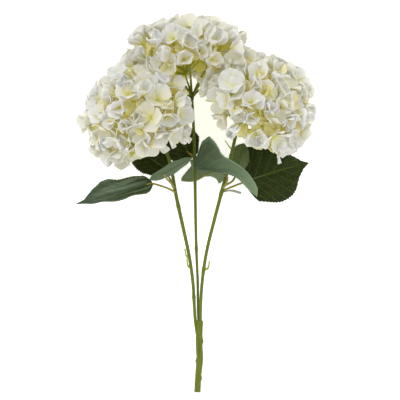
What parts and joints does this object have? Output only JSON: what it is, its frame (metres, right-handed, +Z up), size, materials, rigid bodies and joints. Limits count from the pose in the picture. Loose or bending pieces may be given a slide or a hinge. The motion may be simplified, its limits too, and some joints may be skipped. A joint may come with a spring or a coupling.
{
  "type": "cut hydrangea branch",
  "caption": "Cut hydrangea branch lying on a table: white mophead flower heads on slender forked stems, with broad toothed green leaves.",
  "frame": {"origin": "middle of the branch's footprint, at the height of the table that it lies on", "axes": "+Y along the branch from the cut end of the main stem to the top head, +X to the right of someone who looks down on it with the heads away from them, +Z up"},
  "size_m": [0.3342, 0.5264, 0.1651],
  "materials": {
    "stem": "smooth fresh green bark with pale flecks",
    "ray": "smooth fresh green stalks",
    "sepal": "soft matt petals, creamy white with a yellow-green heart",
    "leaf_upper": "dark green, slightly glossy and finely veined",
    "leaf_under": "matt grey-green underside",
    "shoot": "smooth yellow-green buds"
  },
  "bodies": {
    "root": {"main_stem": "stem", "left_branch": "stem", "centre_branch": "stem", "right_branch": "stem", "left_head_rays": "ray", "left_cyme_1": "sepal", "left_cyme_2": "sepal", "left_cyme_3": "sepal", "left_cyme_4": "sepal", "left_cyme_5": "sepal", "left_cyme_6": "sepal", "left_cyme_7": "sepal", "left_cyme_8": "sepal", "left_cyme_9": "sepal", "top_head_rays": "ray", "top_cyme_1": "sepal", "top_cyme_2": "sepal", "top_cyme_3": "sepal", "top_cyme_4": "sepal", "top_cyme_5": "sepal", "top_cyme_6": "sepal", "top_cyme_7": "sepal", "top_cyme_8": "sepal", "right_head_rays": "ray", "right_cyme_1": "sepal", "right_cyme_2": "sepal", "right_cyme_3": "sepal", "right_cyme_4": "sepal", "right_cyme_5": "sepal", "right_cyme_6": "sepal", "right_cyme_7": "sepal", "right_cyme_8": "sepal", "right_cyme_9": "sepal", "left_long_leaf": "leaf_upper", "left_inner_leaf": "leaf_under", "left_back_leaf": "leaf_upper", "centre_back_leaf": "leaf_upper", "centre_folded_leaf": "leaf_under", "centre_low_leaf": "leaf_under", "right_big_leaf": "leaf_upper", "right_inner_leaf": "leaf_upper", "left_upper_bud": "shoot", "left_lower_bud": "shoot", "right_bud": "shoot", "right_twig": "shoot", "right_sheath": "shoot"}
  },
  "joints": []
}
